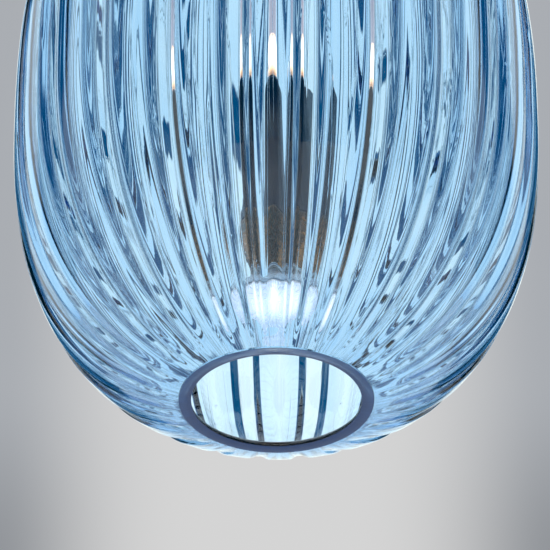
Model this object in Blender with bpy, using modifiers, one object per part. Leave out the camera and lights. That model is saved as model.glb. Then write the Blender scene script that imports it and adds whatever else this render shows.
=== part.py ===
"""Hanging lantern: a ribbed blown-glass shade on a three-screw gallery, with a lamp on a stem inside.

Heights are measured in metres above the ground rim of the shade. The whole lantern hangs from
one empty, so that the world origin is the point where a hook bears inside the hanging loop.
"""

import math

import bmesh
import bpy
from mathutils import Matrix

MM = 0.001
GAP = 0.3 * MM  # left between pieces that touch

# Shade
SHADE_RADIUS = 140 * MM
WIDEST_HEIGHT = 168 * MM
LOWER_REACH = 172.5 * MM  # where the lower curve would close
UPPER_REACH = 217 * MM  # where the upper curve would close
CURVE_POWER = 2.5
CURVE_STEPS = 6  # faces along each half of the curve
WALL = 3.5 * MM  # through the crest of a rib
RIM_WALL = 5 * MM
MOUTH_RADIUS = 45 * MM
RIM_RADIUS = 50.3 * MM
RIM_BEVEL = 0.6 * MM
DOME_START = 56 * MM  # radius where the dome meets the collar's base
LIP_BEVEL = 1 * MM
RIBS = 22
COLUMNS_PER_RIB = 3
OUTER_DEPTH = 2.5 * MM  # of the grooves outside
INNER_DEPTH = 4 * MM  # of the swellings behind the grooves
RIB_START = 53 * MM  # radius where the grooves begin to sink in
RIB_FULL = 74 * MM  # radius where they are full depth
COLLAR_RADIUS = 50 * MM
COLLAR_WALL = 5 * MM
COLLAR_BASE = 384 * MM
LIP_RADIUS = 57 * MM
LIP_BOTTOM = 396 * MM
LIP_TOP = 402 * MM

# Gallery
SKIRT_RADIUS = 61.2 * MM
SKIRT_WALL = 2 * MM
SKIRT_BOTTOM = 386 * MM
CAP_FLAT = 404.3 * MM  # underside that presses on the gasket
CAP_CROWN = 419 * MM  # underside at the middle
CAP_SHEET = 2 * MM
CAP_SLOPE = 6.6 * MM  # how far the cap's cone falls from the crown
CAP_SIDES = 36
SCREW_COUNT = 3
SCREW_HEIGHT = 391.2 * MM
SCREW_RADIUS = 2 * MM
SCREW_TIP = 50.4 * MM
SCREW_SHANK = 13.6 * MM
SCREW_HEAD_RADIUS = 6.5 * MM
SCREW_HEAD_LENGTH = 8 * MM
SCREW_BEVEL = 0.6 * MM
HEAD_BEVEL = 1 * MM
GASKET_INNER = 46 * MM
GASKET_OUTER = 56.5 * MM

# Stem and loop
ROD_RADIUS = 5 * MM
ROD_BORE = 3.4 * MM
ROD_CLEAR = 5.4 * MM  # radius of every hole that the rod goes through
ROD_BOTTOM = 116.4 * MM
ROD_TOP = 446 * MM
NUT_RADIUS = 9.8 * MM  # over the corners
NUT_HEIGHT = 4.7 * MM
WASHER_RADIUS = 13.5 * MM
WASHER_THICKNESS = 2 * MM
BOSS_RADIUS = 15 * MM
BOSS_BORE = 10.8 * MM  # clears the nut under the boss
STEM_RADIUS = 9.4 * MM
STEM_WALL = 1.4 * MM
LOOP_RADIUS = 14 * MM
LOOP_WIRE = 3 * MM
LOOP_CENTRE = 463 * MM
COLLAR_TOP = 453 * MM
LOOP_COLLAR_RADIUS = 8.5 * MM
LOOP_COLLAR_BOTTOM = 436.8 * MM
WIREWAY = 3.4 * MM
BUSHING_BORE = 2.7 * MM
BUSHING_FLANGE = 4.6 * MM
HANG_HEIGHT = LOOP_CENTRE + LOOP_RADIUS - LOOP_WIRE

# Lamp column
SLEEVE_RADIUS = 18.2 * MM
SHEET = 1.4 * MM
SLEEVE_BOTTOM = 110.3 * MM
SLEEVE_TOP = 196.5 * MM
CUP_BOTTOM = 77 * MM
NECK_RING_BOTTOM = 74.6 * MM
NECK_RADIUS = 13.6 * MM
NECK_RING_RADIUS = 11.5 * MM  # of the ring over the sleeve
BOARD = 1.6 * MM  # thickness of the light's board
GLOW_BOTTOM = 200.6 * MM
GLOW_TOP = 226.7 * MM
CUP_STEPS = 5
CUP_LEAN = 1.7  # how late the cup draws in
PLATE_HEIGHT = 122 * MM
PLATE_THICKNESS = 2 * MM
HOLDER_BOTTOM = 95.6 * MM
HOLDER_TOP = 114 * MM
HOLDER_RADIUS = 12.4 * MM
LEG_OFFSET = 10.7 * MM
LEG_RADIUS = 1.5 * MM
LEAD_RADIUS = 1.1 * MM
LEAD_OFFSET = 1.35 * MM

# Reflector lamp
LAMP_RADIUS = 22 * MM
LAMP_FRONT = 56.5 * MM
LAMP_NECK = 74.3 * MM
LAMP_NECK_RADIUS = 11.6 * MM
LAMP_BASE_TOP = 95 * MM
PIN_OFFSET = 5 * MM
PIN_RADIUS = 2.3 * MM
PIN_LENGTH = 6 * MM
FRONT_THICKNESS = 2.3 * MM
EMITTER_RADIUS = 6 * MM
EMITTER_LENGTH = 8.7 * MM

COLOURS = {
    "blue_glass": ((0.42, 0.66, 0.90), 0.03, 0.0),
    "clear_glass": ((0.90, 0.94, 0.98), 0.03, 0.0),
    "navy_gloss": ((0.012, 0.022, 0.050), 0.14, 0.6),
    "bronze": ((0.16, 0.085, 0.045), 0.22, 1.0),
    "bright_metal": ((0.80, 0.76, 0.72), 0.12, 1.0),
    "satin_nickel": ((0.62, 0.58, 0.56), 0.34, 1.0),
    "steel": ((0.55, 0.55, 0.56), 0.35, 1.0),
    "rubber": ((0.03, 0.03, 0.03), 0.8, 0.0),
    "warm_diffuser": ((1.0, 0.86, 0.66), 0.45, 0.0),
    "ceramic": ((0.86, 0.84, 0.80), 0.4, 0.0),
    "board_white": ((0.88, 0.88, 0.84), 0.5, 0.0),
    "lead_sleeve": ((0.75, 0.75, 0.72), 0.55, 0.0),
}


def clear_scene():
    """Remove every object that the file already holds."""
    for thing in list(bpy.data.objects):
        bpy.data.objects.remove(thing, do_unlink=True)


def new_collection(name):
    """Make a collection under the scene's own."""
    made = bpy.data.collections.new(name)
    bpy.context.scene.collection.children.link(made)
    return made


def material(name):
    """The named material, made on first use."""
    known = bpy.data.materials.get(name)
    if known:
        return known
    colour, roughness, metallic = COLOURS[name]
    made = bpy.data.materials.new(name)
    made.use_nodes = True
    shader = made.node_tree.nodes["Principled BSDF"]
    shader.inputs["Base Color"].default_value = (*colour, 1.0)
    shader.inputs["Roughness"].default_value = roughness
    shader.inputs["Metallic"].default_value = metallic
    return made


class Lantern:
    """The collections and the parent that every piece is made under."""

    def __init__(self):
        self.parts = new_collection("hanging_lantern")
        self.cutters = new_collection("cutters")
        self.cutters.hide_render = True
        self.hang_point = bpy.data.objects.new("rim_centre", None)
        self.hang_point.location.z = -HANG_HEIGHT
        self.parts.objects.link(self.hang_point)

    def add(self, name, mesh, material_name, smooth=True):
        """Make a named part from a mesh, hung from the rim's centre."""
        part = bpy.data.objects.new(name, mesh)
        mesh.name = name
        mesh.materials.append(material(material_name))
        if smooth:
            mesh.shade_smooth()
        else:
            mesh.shade_flat()
        self.parts.objects.link(part)
        part.parent = self.hang_point
        return part

    def turned(self, name, outline, material_name, steps=24, closed=True):
        """Turn an outline of (radius, height) points, outer side first from the top down."""
        mesh = bpy.data.meshes.new(name)
        count = len(outline)
        links = [(i, (i + 1) % count) for i in range(count if closed else count - 1)]
        mesh.from_pydata([(r, 0, z) for r, z in outline], links, [])
        part = self.add(name, mesh, material_name)
        screw = part.modifiers.new("turn", "SCREW")
        screw.steps = screw.render_steps = steps
        screw.use_merge_vertices = True
        screw.merge_threshold = 0.00001
        screw.use_smooth_shade = True
        return part

    def ring(self, name, inner, outer, bottom, top, material_name, steps=24):
        """A plain turned ring."""
        outline = [(inner, top), (outer, top), (outer, bottom), (inner, bottom)]
        return self.turned(name, outline, material_name, steps)

    def cylinder(self, name, radius, bottom, top, material_name, sides=16, at=(0, 0)):
        """An upright cylinder between two heights."""
        shape = bmesh.new()
        bmesh.ops.create_cone(
            shape, cap_ends=True, segments=sides, radius1=radius, radius2=radius, depth=top - bottom
        )
        mesh = bpy.data.meshes.new(name)
        shape.to_mesh(mesh)
        shape.free()
        part = self.add(name, mesh, material_name, smooth=sides > 6)
        part.location = (*at, (top + bottom) / 2)
        return part

    def cutter(self, name, radius, depth, place, turn=(0, 0, 0)):
        """A round cutter, centred on a place."""
        tool = self.cylinder(name, radius, 0, depth, "steel", sides=20)
        tool.location = place
        tool.rotation_euler = turn
        tool.display_type = "WIRE"
        tool.hide_render = True
        self.parts.objects.unlink(tool)
        self.cutters.objects.link(tool)
        return tool

    def combine(self, part, tool, how="DIFFERENCE"):
        """Cut a part with a tool, or join the tool to it."""
        step = part.modifiers.new(tool.name, "BOOLEAN")
        step.operation = how
        step.solver = "EXACT"
        step.object = tool

    def hex_nut(self, name, bottom, material_name="steel"):
        """A hexagon nut on the rod."""
        nut = self.cylinder(name, NUT_RADIUS, bottom, bottom + NUT_HEIGHT, material_name, sides=6)
        middle = (0, 0, bottom + NUT_HEIGHT / 2)
        self.combine(nut, self.cutter(name + "_bore", ROD_CLEAR, 3 * NUT_HEIGHT, middle))
        return nut


def curve_point(turn, reach):
    """A point of the shade's outer curve: turn 0 is the widest circle, pi / 2 closes the curve."""
    radius = SHADE_RADIUS * math.cos(turn) ** (2 / CURVE_POWER)
    rise = reach * math.sin(turn) ** (2 / CURVE_POWER)
    return radius, WIDEST_HEIGHT + (rise if reach == UPPER_REACH else -rise)


def curve_radius(height):
    """Radius of the outer curve at a height."""
    reach = UPPER_REACH if height > WIDEST_HEIGHT else LOWER_REACH
    part = min(abs(height - WIDEST_HEIGHT) / reach, 1)
    return SHADE_RADIUS * (1 - part**CURVE_POWER) ** (1 / CURVE_POWER)


def curve(edge_radius, reach, count):
    """Points of one half of the outer curve, from the widest circle to the radius given."""
    last = math.acos((edge_radius / SHADE_RADIUS) ** (CURVE_POWER / 2))
    return [curve_point(last * i / count, reach) for i in range(count + 1)]


def inset(points, distance):
    """The points moved to the right of their direction of travel."""
    moved = []
    for i, (r, z) in enumerate(points):
        ahead = points[min(i + 1, len(points) - 1)]
        behind = points[max(i - 1, 0)]
        run, rise = ahead[0] - behind[0], ahead[1] - behind[1]
        length = math.hypot(run, rise)
        moved.append((r + distance * rise / length, z - distance * run / length))
    return moved


def shade_outline():
    """The shade's section: lip, collar, outer curve, ground rim, then back up the inside."""
    dome = curve(DOME_START, UPPER_REACH, CURVE_STEPS)[::-1]
    bowl = curve(RIM_RADIUS, LOWER_REACH, CURVE_STEPS)
    outer = dome + bowl[1:]
    inner = inset(outer[1:-1], WALL)[::-1]
    collar_bore = COLLAR_RADIUS - COLLAR_WALL
    lip = [
        (collar_bore, LIP_TOP),
        (LIP_RADIUS - LIP_BEVEL, LIP_TOP),
        (LIP_RADIUS, LIP_TOP - LIP_BEVEL),
        (LIP_RADIUS, LIP_BOTTOM + LIP_BEVEL),
        (LIP_RADIUS - LIP_BEVEL, LIP_BOTTOM),
        (COLLAR_RADIUS, LIP_BOTTOM),
        (COLLAR_RADIUS, COLLAR_BASE),
    ]
    mouth = [
        (RIM_RADIUS - RIM_BEVEL, 0),
        (MOUTH_RADIUS + RIM_BEVEL, 0),
        (MOUTH_RADIUS, RIM_BEVEL),
        (MOUTH_RADIUS, RIM_WALL),
    ]
    return lip + outer + mouth + inner + [(collar_bore, COLLAR_BASE - COLLAR_WALL)]


def groove(angle):
    """How far into a groove an angle lies: 0 on a rib's crest, 1 at the groove's bottom."""
    return math.sin(angle * RIBS / 2) ** 2


def rib_strength(radius):
    """0 on the smooth glass round the openings, 1 on the full ribs."""
    part = (radius - RIB_START) / (RIB_FULL - RIB_START)
    part = min(max(part, 0), 1)
    return part * part * (3 - 2 * part)


def glass_shade(lantern):
    """The blown shade, its wall pressed in between the ribs, with a rib's crest at the front."""
    turned = lantern.turned("turned_shade", shade_outline(), "blue_glass", RIBS * COLUMNS_PER_RIB)
    graph = bpy.context.evaluated_depsgraph_get()
    mesh = bpy.data.meshes.new_from_object(turned.evaluated_get(graph))
    bpy.data.objects.remove(turned)
    for vertex in mesh.vertices:
        x, y, z = vertex.co
        if z > COLLAR_BASE:
            continue
        radius = math.hypot(x, y)
        outside = abs(radius - curve_radius(z)) < WALL / 10
        full_depth = OUTER_DEPTH if outside else INNER_DEPTH
        depth = full_depth * rib_strength(radius) * groove(math.atan2(y, x))
        vertex.co.x -= x / radius * depth
        vertex.co.y -= y / radius * depth
    mesh.transform(Matrix.Rotation(-math.pi / 2, 4, "Z"))
    mesh.materials.clear()
    lantern.add("glass_shade", mesh, "blue_glass")


def gallery_cap(lantern):
    """The spun cap that the shade's lip sits in, drilled for the screws and the rod."""
    inner = SKIRT_RADIUS - SKIRT_WALL
    top = CAP_CROWN + CAP_SHEET
    flat_top = CAP_FLAT + CAP_SHEET
    outline = [
        (ROD_CLEAR, top),
        (15 * MM, top),
        (32 * MM, top - CAP_SLOPE),
        (45 * MM, flat_top + 0.6 * MM),
        (56.5 * MM, flat_top),
        (SKIRT_RADIUS - 1.2 * MM, flat_top - 1.2 * MM),
        (SKIRT_RADIUS, flat_top - 4 * MM),
        (SKIRT_RADIUS, SKIRT_BOTTOM),
        (inner, SKIRT_BOTTOM),
        (inner, CAP_FLAT),
        (44 * MM, CAP_FLAT),
        (31 * MM, CAP_CROWN - CAP_SLOPE),
        (14.6 * MM, CAP_CROWN),
        (ROD_CLEAR, CAP_CROWN),
    ]
    cap = lantern.turned("gallery_cap", outline, "bronze", CAP_SIDES)
    for index, angle in enumerate(screw_angles(), 1):
        middle = SKIRT_RADIUS - SKIRT_WALL / 2
        place = (middle * math.cos(angle), middle * math.sin(angle), SCREW_HEIGHT)
        hole = lantern.cutter(
            f"screw_hole_{index}", SCREW_RADIUS + GAP, 8 * MM, place, (0, math.pi / 2, angle)
        )
        lantern.combine(cap, hole)


def screw_angles():
    """Where the thumb screws stand round the gallery."""
    return [math.radians(90) + 2 * math.pi * i / SCREW_COUNT for i in range(SCREW_COUNT)]


def thumb_screws(lantern):
    """The screws whose tips hold the shade's lip, each turned about its own axis."""
    head_top = SCREW_SHANK + SCREW_HEAD_LENGTH
    outline = [
        (0, head_top),
        (SCREW_HEAD_RADIUS - HEAD_BEVEL, head_top),
        (SCREW_HEAD_RADIUS, head_top - HEAD_BEVEL),
        (SCREW_HEAD_RADIUS, SCREW_SHANK + HEAD_BEVEL),
        (SCREW_HEAD_RADIUS - HEAD_BEVEL, SCREW_SHANK),
        (SCREW_RADIUS, SCREW_SHANK),
        (SCREW_RADIUS, SCREW_BEVEL),
        (SCREW_RADIUS - SCREW_BEVEL, 0),
        (0, 0),
    ]
    for index, angle in enumerate(screw_angles(), 1):
        screw = lantern.turned(f"thumb_screw_{index}", outline, "bronze", 18, closed=False)
        screw.location = (SCREW_TIP * math.cos(angle), SCREW_TIP * math.sin(angle), SCREW_HEIGHT)
        screw.rotation_euler = (0, math.pi / 2, angle)


def lip_gasket(lantern):
    """The ring that cushions the lip under the cap."""
    bottom, top = LIP_TOP + GAP, CAP_FLAT - GAP
    lantern.ring("lip_gasket", GASKET_INNER, GASKET_OUTER, bottom, top, "rubber", 32)


def crown(lantern):
    """The boss over the cap and the nuts and washer that clamp the cap to the rod."""
    seat = CAP_CROWN + CAP_SHEET + GAP
    boss = [
        (ROD_CLEAR, LOOP_COLLAR_BOTTOM - GAP),
        (9 * MM, LOOP_COLLAR_BOTTOM - GAP),
        (11.4 * MM, LOOP_COLLAR_BOTTOM - 3 * MM),
        (12.6 * MM, seat + 5 * MM),
        (BOSS_RADIUS, seat + 1.4 * MM),
        (BOSS_RADIUS, seat),
        (BOSS_BORE, seat),
        (BOSS_BORE, seat + 6 * MM),
        (8 * MM, seat + 8 * MM),
        (ROD_CLEAR, seat + 8 * MM),
    ]
    lantern.turned("crown_boss", boss, "bronze")
    lantern.hex_nut("crown_nut", seat)
    washer_top = CAP_CROWN - GAP
    washer_bottom = washer_top - WASHER_THICKNESS
    lantern.ring("cap_washer", ROD_CLEAR, WASHER_RADIUS, washer_bottom, washer_top, "steel")
    lantern.hex_nut("stem_nut", stem_top() + GAP)


def stem_top():
    """Top of the stem tube, under its nut."""
    return CAP_CROWN - WASHER_THICKNESS - NUT_HEIGHT - 3 * GAP


def stem(lantern):
    """The threaded rod, the satin tube round it and the two leads in its bore."""
    lantern.ring("threaded_rod", ROD_BORE, ROD_RADIUS, ROD_BOTTOM, ROD_TOP, "steel", 16)
    bottom = GLOW_TOP + GAP
    bore = STEM_RADIUS - STEM_WALL
    lantern.ring("stem_tube", bore, STEM_RADIUS, bottom, stem_top(), "satin_nickel", 32)
    for index, side in enumerate((-1, 1), 1):
        place = (side * LEAD_OFFSET, 0)
        lantern.cylinder(
            f"lamp_lead_{index}", LEAD_RADIUS, HOLDER_TOP + GAP, COLLAR_TOP, "lead_sleeve", 8, place
        )


def hanging_loop(lantern):
    """The ring and its threaded collar, with a way for the cord up through the collar."""
    loop = lantern.cylinder(
        "hanging_loop", LOOP_COLLAR_RADIUS, LOOP_COLLAR_BOTTOM, COLLAR_TOP, "bronze", sides=24
    )
    bpy.ops.mesh.primitive_torus_add(
        major_segments=28,
        minor_segments=10,
        major_radius=LOOP_RADIUS,
        minor_radius=LOOP_WIRE,
        rotation=(math.pi / 2, 0, 0),
    )
    ring = bpy.context.object
    ring.name = "loop_ring"
    ring.parent = lantern.hang_point
    ring.location = (0, 0, LOOP_CENTRE)
    ring.display_type = "WIRE"
    for holder in list(ring.users_collection):
        holder.objects.unlink(ring)
    lantern.cutters.objects.link(ring)
    lantern.combine(loop, ring, "UNION")
    thread_depth = ROD_TOP - LOOP_COLLAR_BOTTOM + GAP
    thread = lantern.cutter(
        "loop_thread", ROD_CLEAR, 2 * thread_depth, (0, 0, LOOP_COLLAR_BOTTOM)
    )
    lantern.combine(loop, thread)
    wireway = lantern.cutter("loop_wireway", WIREWAY, 24 * MM, (0, 0, COLLAR_TOP))
    lantern.combine(loop, wireway)


def cord_bushing(lantern):
    """The flanged sleeve that lines the cord's way into the loop."""
    outer = WIREWAY - GAP
    seat = COLLAR_TOP + GAP
    top = seat + 1.5 * MM
    bottom = ROD_TOP + 2 * GAP
    outline = [
        (BUSHING_BORE, top),
        (BUSHING_FLANGE, top),
        (BUSHING_FLANGE, seat),
        (outer, seat),
        (outer, bottom),
        (BUSHING_BORE, bottom),
    ]
    lantern.turned("cord_bushing", outline, "rubber", 16)


def uplight(lantern):
    """The lit collar on the stem: base ring, light ring and diffuser."""
    board_top = GLOW_BOTTOM - GAP
    board_bottom = board_top - BOARD
    ring_bottom = SLEEVE_TOP + GAP
    ring_top = board_bottom - GAP
    lantern.ring("sleeve_neck_ring", ROD_CLEAR, NECK_RING_RADIUS, ring_bottom, ring_top, "bronze")
    lantern.ring("uplight_board", ROD_CLEAR, STEM_RADIUS, board_bottom, board_top, "board_white")
    wide = STEM_RADIUS + 0.7 * MM
    outline = [
        (ROD_CLEAR, GLOW_TOP),
        (STEM_RADIUS, GLOW_TOP),
        (wide, GLOW_BOTTOM + 8 * MM),
        (wide, GLOW_BOTTOM),
        (ROD_CLEAR, GLOW_BOTTOM),
    ]
    lantern.turned("glow_collar", outline, "warm_diffuser")


def sleeve(lantern):
    """The dark sleeve with a rounded shoulder, and the nut that holds it on the rod."""
    bore = SLEEVE_RADIUS - SHEET
    under = SLEEVE_TOP - SHEET
    outline = [
        (ROD_CLEAR, SLEEVE_TOP),
        (SLEEVE_RADIUS - 6 * MM, SLEEVE_TOP),
        (SLEEVE_RADIUS - 1.8 * MM, SLEEVE_TOP - 1.8 * MM),
        (SLEEVE_RADIUS, SLEEVE_TOP - 6 * MM),
        (SLEEVE_RADIUS, SLEEVE_BOTTOM),
        (bore, SLEEVE_BOTTOM),
        (bore, under - 5 * MM),
        (bore - 1.5 * MM, under - 1.5 * MM),
        (bore - 5 * MM, under),
        (ROD_CLEAR, under),
    ]
    lantern.turned("sleeve", outline, "navy_gloss", 24)
    lantern.hex_nut("sleeve_nut", under - GAP - NUT_HEIGHT)


def bronze_cup(lantern):
    """The tapered cup under the sleeve, the ring that joins them and the bright neck ring."""
    top = SLEEVE_BOTTOM - GAP
    reach = top - CUP_BOTTOM
    neck = NECK_RADIUS - 0.6 * MM
    outer = []
    for i in range(CUP_STEPS + 1):
        part = i / CUP_STEPS
        draw = (SLEEVE_RADIUS - neck) * part**CUP_LEAN
        outer.append((SLEEVE_RADIUS - draw, top - reach * part))
    inner = [(r - SHEET, z) for r, z in outer]
    lantern.turned("bronze_cup", outer + inner[::-1], "bronze", 24)
    joint_radius = SLEEVE_RADIUS - SHEET - 1.2 * MM
    joint_bottom = SLEEVE_BOTTOM - 6 * MM
    joint_top = SLEEVE_BOTTOM + 7 * MM
    joint_bore = joint_radius - 1.2 * MM
    lantern.ring("joining_ring", joint_bore, joint_radius, joint_bottom, joint_top, "steel")
    bottom = NECK_RING_BOTTOM
    lantern.ring(
        "neck_ring", LAMP_NECK_RADIUS + GAP, NECK_RADIUS, bottom, CUP_BOTTOM - GAP, "bright_metal"
    )


def lampholder(lantern):
    """The holder with its two pin sockets, the legs and the plate that it hangs from."""
    plate_radius = SLEEVE_RADIUS - SHEET - GAP
    plate_top = PLATE_HEIGHT + PLATE_THICKNESS
    lantern.ring("holder_plate", ROD_CLEAR, plate_radius, PLATE_HEIGHT, plate_top, "steel")
    lantern.hex_nut("rod_end_nut", PLATE_HEIGHT - GAP - NUT_HEIGHT)
    for index, side in enumerate((-1, 1), 1):
        lantern.cylinder(
            f"holder_leg_{index}",
            LEG_RADIUS,
            HOLDER_TOP + GAP,
            PLATE_HEIGHT - GAP,
            "steel",
            12,
            (side * LEG_OFFSET, 0),
        )
    holder = lantern.cylinder(
        "lampholder", HOLDER_RADIUS, HOLDER_BOTTOM, HOLDER_TOP, "ceramic", 24
    )
    for index, side in enumerate((-1, 1), 1):
        place = (side * PIN_OFFSET, 0, HOLDER_BOTTOM)
        depth = 2 * (PIN_LENGTH + MM)
        lantern.combine(
            holder, lantern.cutter(f"pin_socket_{index}", PIN_RADIUS + GAP, depth, place)
        )


def lamp(lantern):
    """The reflector lamp: fluted bowl, front glass, emitter, base and pins."""
    front_top = LAMP_FRONT + FRONT_THICKNESS
    bowl_bottom = front_top + GAP
    outer = [
        (LAMP_NECK_RADIUS - 2 * MM, LAMP_NECK),
        (LAMP_NECK_RADIUS, LAMP_NECK),
        (LAMP_NECK_RADIUS + 3.4 * MM, LAMP_NECK - 4 * MM),
        (LAMP_RADIUS - 2 * MM, bowl_bottom + 5 * MM),
        (LAMP_RADIUS, bowl_bottom),
    ]
    inner = [
        (LAMP_RADIUS - 1.5 * MM, bowl_bottom),
        (LAMP_RADIUS - 3.6 * MM, bowl_bottom + 4.6 * MM),
        (LAMP_NECK_RADIUS + 2 * MM, LAMP_NECK - 4.6 * MM),
        (LAMP_NECK_RADIUS - 2 * MM, LAMP_NECK - 1.6 * MM),
    ]
    lantern.turned("lamp_reflector", outer + inner, "clear_glass", 24)
    front_radius = LAMP_RADIUS - 0.4 * MM
    lantern.cylinder("lamp_front_glass", front_radius, LAMP_FRONT, front_top, "clear_glass", 32)
    top = LAMP_NECK - GAP
    bottom = top - EMITTER_LENGTH
    lantern.cylinder("lamp_emitter", EMITTER_RADIUS, bottom, top, "warm_diffuser", 20)
    base_bottom = LAMP_NECK + GAP
    base = [
        (0, LAMP_BASE_TOP),
        (9.5 * MM, LAMP_BASE_TOP),
        (10.6 * MM, LAMP_BASE_TOP - 2 * MM),
        (LAMP_NECK_RADIUS - GAP, base_bottom + 6 * MM),
        (LAMP_NECK_RADIUS - GAP, base_bottom),
        (0, base_bottom),
    ]
    lantern.turned("lamp_base", base, "ceramic", 24, closed=False)
    for index, side in enumerate((-1, 1), 1):
        bottom = LAMP_BASE_TOP + GAP
        place = (side * PIN_OFFSET, 0)
        lantern.cylinder(
            f"lamp_pin_{index}", PIN_RADIUS, bottom, bottom + PIN_LENGTH, "bright_metal", 12, place
        )


def main():
    """Build the whole lantern."""
    clear_scene()
    lantern = Lantern()
    glass_shade(lantern)
    gallery_cap(lantern)
    thumb_screws(lantern)
    lip_gasket(lantern)
    crown(lantern)
    stem(lantern)
    hanging_loop(lantern)
    cord_bushing(lantern)
    uplight(lantern)
    sleeve(lantern)
    bronze_cup(lantern)
    lampholder(lantern)
    lamp(lantern)


if __name__ == "__main__":
    main()
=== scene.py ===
"""Hanging lantern of ribbed blue glass: the detailed pieces, their finishes and the studio."""

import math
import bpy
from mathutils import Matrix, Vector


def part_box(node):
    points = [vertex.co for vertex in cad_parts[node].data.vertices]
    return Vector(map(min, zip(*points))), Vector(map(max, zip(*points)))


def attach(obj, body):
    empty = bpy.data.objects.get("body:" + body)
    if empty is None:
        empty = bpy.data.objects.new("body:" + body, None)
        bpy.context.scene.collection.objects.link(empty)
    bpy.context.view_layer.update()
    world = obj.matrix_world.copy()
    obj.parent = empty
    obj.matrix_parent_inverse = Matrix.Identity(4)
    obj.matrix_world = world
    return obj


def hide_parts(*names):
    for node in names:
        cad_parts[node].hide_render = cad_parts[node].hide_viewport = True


bl_info = {
    "name": "Ribbed Glass Hanging Lantern",
    "version": (1, 0, 0),
    "blender": (4, 5, 0),
    "location": "3D View > Sidebar > Lantern",
    "description": "Builds the visible pieces of a hanging lantern of ribbed blue glass",
    "category": "Object",
}

import bmesh
import bpy
from mathutils import Vector

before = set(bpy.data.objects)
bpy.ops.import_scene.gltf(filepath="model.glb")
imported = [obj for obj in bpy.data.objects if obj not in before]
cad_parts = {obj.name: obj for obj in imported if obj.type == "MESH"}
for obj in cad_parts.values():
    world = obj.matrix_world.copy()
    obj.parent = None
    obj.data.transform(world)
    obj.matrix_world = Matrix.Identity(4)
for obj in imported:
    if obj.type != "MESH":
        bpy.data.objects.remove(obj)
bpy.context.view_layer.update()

MM = 0.001
TURN = 2 * math.pi
SCREWS = ("thumb_screw_1", "thumb_screw_2", "thumb_screw_3")


def span(node):
    """Outer radius, bottom and top of a round node."""
    low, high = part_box(node)
    return high[1], low[2], high[2]


RIM = span("glass_shade")[1]
ROD = span("threaded_rod")[0] + 0.4 * MM  # bore of what sits on the rod


# ---------------------------------------------------------------- settings


def length(name, description, default):
    """A size in metres."""
    return bpy.props.FloatProperty(
        name=name, description=description, default=default, min=0, unit="LENGTH", precision=5
    )


def colour(name, description, default, brightest=1):
    """A colour of a finish or, where it may pass 1, of a light."""
    return bpy.props.FloatVectorProperty(
        name=name, description=description, default=default, min=0, max=brightest, subtype="COLOR"
    )


class LanternSizes(bpy.types.PropertyGroup):
    """Sizes of the glass and of the turned pieces."""

    crest_radius: length(
        "Crest radius", "Radius of the shade over its ribs", span("glass_shade")[0] - 1.2 * MM
    )
    wall: length("Wall", "Glass thickness through the crest of a rib", 3.3 * MM)
    rim_wall: length("Rim wall", "Glass thickness at the ground rim", 5 * MM)
    outer_groove: length("Outer groove", "Depth of the grooves outside", 2.95 * MM)
    inner_swelling: length("Inner swelling", "Height of the swellings inside", 2.4 * MM)
    ribs: bpy.props.IntProperty(name="Ribs", description="Ribs round the shade", default=22, min=3)
    unevenness: bpy.props.FloatProperty(
        name="Unevenness", description="How hand-made the ribs are", default=1.0, min=0, max=3
    )
    edge: length("Edge", "Rounding of the turned metal edges", 0.5 * MM)


class LanternColours(bpy.types.PropertyGroup):
    """Colours of the finishes."""

    glass: colour("Glass", "What the blue glass lets through", (0.37, 0.68, 0.914))
    density: bpy.props.FloatProperty(
        name="Depth", description="How strongly the glass takes up light", default=150, min=0
    )
    sleeve: colour("Sleeve", "Lacquer of the sleeve", (0.006, 0.016, 0.034))
    bronze: colour("Bronze", "Dark bronze of the cap, cup and loop", (0.105, 0.062, 0.040))
    # On the cup these warm patches are painted highlights; on the cap and loop, a faint copper
    # tone.
    copper: colour("Copper", "Warm patches in the bronze", (0.62, 0.25, 0.09))
    nickel: colour("Nickel", "Satin metal of the stem", (0.82, 0.77, 0.76))
    glow: colour("Glow", "Light of the collar and the lamp", (1.0, 0.80, 0.56))
    # The backdrop's light is painted: this grey is its bright middle, a painted pool of light, and
    # the edge grey is painted shade away from it.
    backdrop: colour("Backdrop", "Plain studio grey", (0.66, 0.66, 0.66))
    backdrop_edge: colour("Backdrop edge", "Studio grey away from its middle", (0.40, 0.42, 0.45))
    window: colour("Window", "The tall windows round the lantern", (1.12, 1.24, 1.20), 4)
    floor_light: colour("Floor light", "What comes up from below", (0.16, 0.52, 0.98))
    ceiling: colour("Ceiling", "The soft light overhead", (1.7, 1.7, 1.7), 4)
    shadow: colour("Shadow", "The unlit room between the windows", (0.0, 0.095, 0.20))


# ---------------------------------------------------------------- shader nodes


class Term:
    """A shader socket that takes part in arithmetic."""

    def __init__(self, finish, socket):
        self.finish = finish
        self.socket = socket

    def __add__(self, other):
        return self.finish.math("ADD", self, other)

    def __sub__(self, other):
        return self.finish.math("SUBTRACT", self, other)

    def __mul__(self, other):
        return self.finish.math("MULTIPLY", self, other)

    def __truediv__(self, other):
        return self.finish.math("DIVIDE", self, other)

    def parts(self):
        """The three numbers of a vector."""
        node = self.finish.tree.nodes.new("ShaderNodeSeparateXYZ")
        self.finish.tree.links.new(self.socket, node.inputs[0])
        return [Term(self.finish, output) for output in node.outputs]


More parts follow.
